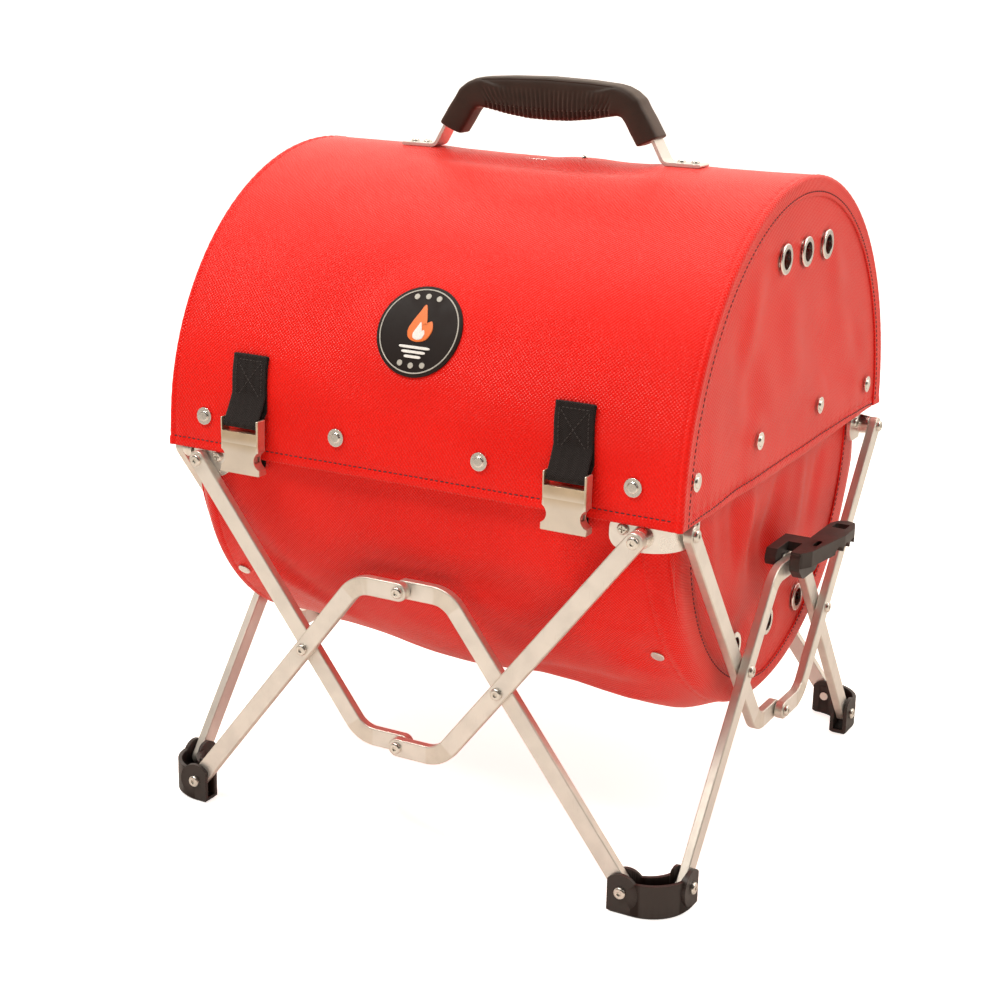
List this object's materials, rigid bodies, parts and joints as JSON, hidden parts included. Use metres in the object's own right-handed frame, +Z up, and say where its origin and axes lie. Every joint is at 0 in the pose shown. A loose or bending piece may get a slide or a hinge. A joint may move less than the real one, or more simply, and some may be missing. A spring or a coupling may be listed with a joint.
{
  "type": "portable grill",
  "caption": "Portable charcoal grill: a half-drum fabric lid with a handle over a fabric basin, carried on a square collapsible stand of crossed aluminium bars.",
  "frame": {"origin": "on the ground under the centre of the stand", "axes": "+Z up, +X along the lid's ridge towards its right end, +Y from the front towards the back"},
  "size_m": [0.562, 0.52, 0.6407],
  "materials": {
    "red_cloth": "glossy silicone-coated glass cloth, fine diagonal weave",
    "bar_aluminium": "satin anodised flat bar",
    "rivet_steel": "domed, lightly brushed",
    "foot_nylon": "moulded glass-filled nylon",
    "eyelet_metal": "bright nickel plate",
    "spring_wire": "drawn spring steel",
    "tray_steel": "stainless sheet",
    "grate_steel": "polished stainless rod",
    "buckle_nickel": "champagne nickel, satin",
    "webbing": "black polyester webbing",
    "badge_rubber": "soft printed patch",
    "plate_aluminium": "mill finish",
    "grip_rubber": "soft moulded grip"
  },
  "bodies": {
    "front_brace_inner": {"front_brace_inner": "bar_aluminium", "front_brace_rivets": "rivet_steel"},
    "front_leg_outer": {"front_leg_outer": "bar_aluminium"},
    "front_brace_outer": {"front_brace_outer": "bar_aluminium"},
    "front_leg_inner": {"front_leg_inner": "bar_aluminium", "front_leg_rivets": "rivet_steel"},
    "right_brace_inner": {"right_brace_inner": "bar_aluminium", "right_brace_rivets": "rivet_steel"},
    "right_leg_outer": {"right_leg_outer": "bar_aluminium"},
    "right_brace_outer": {"right_brace_outer": "bar_aluminium"},
    "right_leg_inner": {"right_leg_inner": "bar_aluminium", "right_leg_rivets": "rivet_steel"},
    "back_brace_inner": {"back_brace_inner": "bar_aluminium", "back_brace_rivets": "rivet_steel"},
    "back_leg_outer": {"back_leg_outer": "bar_aluminium"},
    "back_brace_outer": {"back_brace_outer": "bar_aluminium"},
    "back_leg_inner": {"back_leg_inner": "bar_aluminium", "back_leg_rivets": "rivet_steel"},
    "left_brace_inner": {"left_brace_inner": "bar_aluminium", "left_brace_rivets": "rivet_steel"},
    "left_leg_outer": {"left_leg_outer": "bar_aluminium"},
    "left_brace_outer": {"left_brace_outer": "bar_aluminium"},
    "left_leg_inner": {"left_leg_inner": "bar_aluminium", "left_leg_rivets": "rivet_steel"},
    "front_right_bracket": {"front_right_bracket": "bar_aluminium", "front_right_bracket_fixings": "rivet_steel"},
    "front_right_foot": {"front_right_foot": "foot_nylon", "front_right_foot_rivets": "rivet_steel"},
    "back_right_bracket": {"back_right_bracket": "bar_aluminium", "back_right_bracket_fixings": "rivet_steel"},
    "back_right_foot": {"back_right_foot": "foot_nylon", "back_right_foot_rivets": "rivet_steel"},
    "back_left_bracket": {"back_left_bracket": "bar_aluminium", "back_left_bracket_fixings": "rivet_steel"},
    "back_left_foot": {"back_left_foot": "foot_nylon", "back_left_foot_rivets": "rivet_steel"},
    "front_left_bracket": {"front_left_bracket": "bar_aluminium", "front_left_bracket_fixings": "rivet_steel"},
    "front_left_foot": {"front_left_foot": "foot_nylon", "front_left_foot_rivets": "rivet_steel"},
    "right_fold_lever": {"right_fold_lever": "foot_nylon"},
    "left_fold_lever": {"left_fold_lever": "foot_nylon"},
    "basin": {"basin_cover": "red_cloth", "basin_eyelets": "eyelet_metal", "rim_wires": "spring_wire", "charcoal_tray": "tray_steel", "buckle_tongues": "buckle_nickel", "tongue_tabs": "webbing"},
    "lid": {"lid_cover": "red_cloth", "lid_eyelets": "eyelet_metal", "lid_snaps": "eyelet_metal", "lid_badge": "badge_rubber", "lid_hoops": "spring_wire", "ridge_plate": "plate_aluminium", "handle_strap": "bar_aluminium", "handle_grip": "grip_rubber", "handle_screws": "rivet_steel", "lid_straps": "webbing", "lid_buckles": "buckle_nickel"},
    "grate": {"cooking_grate": "grate_steel"}
  },
  "joints": [
    {"name": "frame_fold", "type": "hinge", "parent": "front_left_foot", "child": "front_leg_outer", "pos_m": [-0.21, -0.2485, 0.02], "axis": [0, -1, 0], "range_deg": [0, 36], "deforming": ["basin_cover", "basin_eyelets", "rim_wires", "charcoal_tray", "buckle_tongues", "tongue_tabs", "cooking_grate"]},
    {"name": "front_leg_outer_to_brace_inner", "type": "hinge", "parent": "front_leg_outer", "child": "front_brace_inner", "pos_m": [-0.095, -0.244, 0.1685], "axis": [0, 1, 0], "range_deg": [0, 72]},
    {"name": "front_leg_outer_to_leg_inner", "type": "hinge", "parent": "front_leg_outer", "child": "front_leg_inner", "pos_m": [0, -0.244, 0.23771], "axis": [0, 1, 0], "range_deg": [0, 72]},
    {"name": "front_leg_inner_to_brace_outer", "type": "hinge", "parent": "front_leg_inner", "child": "front_brace_outer", "pos_m": [0.095, -0.244, 0.1685], "axis": [0, 1, 0], "range_deg": [-72, 0]},
    {"name": "front_brace_inner_to_left_bracket", "type": "hinge", "parent": "front_brace_inner", "child": "front_left_bracket", "pos_m": [-0.21, -0.2395, 0.317], "axis": [0, 1, 0], "range_deg": [-36, 0]},
    {"name": "front_brace_outer_to_right_bracket", "type": "hinge", "parent": "front_brace_outer", "child": "front_right_bracket", "pos_m": [0.21, -0.2485, 0.317], "axis": [0, 1, 0], "range_deg": [0, 36]},
    {"name": "front_leg_inner_to_right_foot", "type": "hinge", "parent": "front_leg_inner", "child": "front_right_foot", "pos_m": [0.21, -0.2395, 0.02], "axis": [0, 1, 0], "range_deg": [-36, 0]},
    {"name": "front_right_bracket_to_brace_inner", "type": "hinge", "parent": "front_right_bracket", "child": "right_brace_inner", "pos_m": [0.2395, -0.21, 0.317], "axis": [-1, 0, 0], "range_deg": [0, 36]},
    {"name": "right_brace_inner_to_leg_outer", "type": "hinge", "parent": "right_brace_inner", "child": "right_leg_outer", "pos_m": [0.244, -0.095, 0.1685], "axis": [-1, 0, 0], "range_deg": [-72, 0]},
    {"name": "right_leg_outer_to_leg_inner", "type": "hinge", "parent": "right_leg_outer", "child": "right_leg_inner", "pos_m": [0.244, 0, 0.23771], "axis": [-1, 0, 0], "range_deg": [0, 72]},
    {"name": "right_leg_inner_to_brace_outer", "type": "hinge", "parent": "right_leg_inner", "child": "right_brace_outer", "pos_m": [0.244, 0.095, 0.1685], "axis": [-1, 0, 0], "range_deg": [-72, 0]},
    {"name": "right_brace_outer_to_back_bracket", "type": "hinge", "parent": "right_brace_outer", "child": "back_right_bracket", "pos_m": [0.2485, 0.21, 0.317], "axis": [-1, 0, 0], "range_deg": [0, 36]},
    {"name": "right_leg_inner_to_back_foot", "type": "hinge", "parent": "right_leg_inner", "child": "back_right_foot", "pos_m": [0.2395, 0.21, 0.02], "axis": [-1, 0, 0], "range_deg": [-36, 0]},
    {"name": "front_left_bracket_to_brace_outer", "type": "hinge", "parent": "front_left_bracket", "child": "left_brace_outer", "pos_m": [-0.2485, -0.21, 0.317], "axis": [1, 0, 0], "range_deg": [-36, 0]},
    {"name": "left_brace_outer_to_leg_inner", "type": "hinge", "parent": "left_brace_outer", "child": "left_leg_inner", "pos_m": [-0.244, -0.095, 0.1685], "axis": [1, 0, 0], "range_deg": [0, 72]},
    {"name": "left_leg_inner_to_leg_outer", "type": "hinge", "parent": "left_leg_inner", "child": "left_leg_outer", "pos_m": [-0.244, 0, 0.23771], "axis": [1, 0, 0], "range_deg": [-72, 0]},
    {"name": "left_leg_outer_to_brace_inner", "type": "hinge", "parent": "left_leg_outer", "child": "left_brace_inner", "pos_m": [-0.244, 0.095, 0.1685], "axis": [1, 0, 0], "range_deg": [0, 72]},
    {"name": "left_brace_inner_to_back_bracket", "type": "hinge", "parent": "left_brace_inner", "child": "back_left_bracket", "pos_m": [-0.2395, 0.21, 0.317], "axis": [1, 0, 0], "range_deg": [-36, 0]},
    {"name": "left_leg_outer_to_back_foot", "type": "hinge", "parent": "left_leg_outer", "child": "back_left_foot", "pos_m": [-0.2485, 0.21, 0.02], "axis": [1, 0, 0], "range_deg": [0, 36]},
    {"name": "back_right_bracket_to_brace_inner", "type": "hinge", "parent": "back_right_bracket", "child": "back_brace_inner", "pos_m": [0.21, 0.2395, 0.317], "axis": [0, -1, 0], "range_deg": [0, 36]},
    {"name": "back_brace_inner_to_leg_outer", "type": "hinge", "parent": "back_brace_inner", "child": "back_leg_outer", "pos_m": [0.095, 0.244, 0.1685], "axis": [0, -1, 0], "range_deg": [-72, 0]},
    {"name": "back_leg_outer_to_leg_inner", "type": "hinge", "parent": "back_leg_outer", "child": "back_leg_inner", "pos_m": [0, 0.244, 0.23771], "axis": [0, -1, 0], "range_deg": [0, 72]},
    {"name": "back_leg_inner_to_brace_outer", "type": "hinge", "parent": "back_leg_inner", "child": "back_brace_outer", "pos_m": [-0.095, 0.244, 0.1685], "axis": [0, -1, 0], "range_deg": [-72, 0]},
    {"name": "cover_centring", "type": "slide", "parent": "back_right_bracket", "child": "basin", "axis": [0.7071, 0.7071, 0], "range_m": [0, 0.23809]},
    {"name": "lid_hinge", "type": "hinge", "parent": "basin", "child": "lid", "pos_m": [0, 0.24, 0.334], "axis": [-1, 0, 0], "range_deg": [0, 95]},
    {"name": "grate_lift", "type": "slide", "parent": "basin", "child": "grate", "axis": [0, 0, 1], "range_m": [0, 0.05]},
    {"name": "right_lever_lift", "type": "hinge", "parent": "right_leg_outer", "child": "right_fold_lever", "pos_m": [0.26, 0, 0.23771], "axis": [1, 0, 0], "range_deg": [0, 50]},
    {"name": "left_lever_lift", "type": "hinge", "parent": "left_leg_outer", "child": "left_fold_lever", "pos_m": [-0.26, 0, 0.23771], "axis": [-1, 0, 0], "range_deg": [0, 50]}
  ],
  "couplings": [
    {"joint": "front_leg_outer_to_brace_inner", "follows": "frame_fold", "ratio": 2},
    {"joint": "front_leg_outer_to_leg_inner", "follows": "frame_fold", "ratio": 2},
    {"joint": "front_leg_inner_to_brace_outer", "follows": "frame_fold", "ratio": -2},
    {"joint": "front_brace_inner_to_left_bracket", "follows": "frame_fold", "ratio": -1},
    {"joint": "front_brace_outer_to_right_bracket", "follows": "frame_fold", "ratio": 1},
    {"joint": "front_leg_inner_to_right_foot", "follows": "frame_fold", "ratio": -1},
    {"joint": "front_right_bracket_to_brace_inner", "follows": "frame_fold", "ratio": 1},
    {"joint": "right_brace_inner_to_leg_outer", "follows": "frame_fold", "ratio": -2},
    {"joint": "right_leg_outer_to_leg_inner", "follows": "frame_fold", "ratio": 2},
    {"joint": "right_leg_inner_to_brace_outer", "follows": "frame_fold", "ratio": -2},
    {"joint": "right_brace_outer_to_back_bracket", "follows": "frame_fold", "ratio": 1},
    {"joint": "right_leg_inner_to_back_foot", "follows": "frame_fold", "ratio": -1},
    {"joint": "front_left_bracket_to_brace_outer", "follows": "frame_fold", "ratio": -1},
    {"joint": "left_brace_outer_to_leg_inner", "follows": "frame_fold", "ratio": 2},
    {"joint": "left_leg_inner_to_leg_outer", "follows": "frame_fold", "ratio": -2},
    {"joint": "left_leg_outer_to_brace_inner", "follows": "frame_fold", "ratio": 2},
    {"joint": "left_brace_inner_to_back_bracket", "follows": "frame_fold", "ratio": -1},
    {"joint": "left_leg_outer_to_back_foot", "follows": "frame_fold", "ratio": 1},
    {"joint": "back_right_bracket_to_brace_inner", "follows": "frame_fold", "ratio": 1},
    {"joint": "back_brace_inner_to_leg_outer", "follows": "frame_fold", "ratio": -2},
    {"joint": "back_leg_outer_to_leg_inner", "follows": "frame_fold", "ratio": 2},
    {"joint": "back_leg_inner_to_brace_outer", "follows": "frame_fold", "ratio": -2},
    {"joint": "cover_centring", "follows": "frame_fold", "m_per_rad": 0.3783}
  ]
}
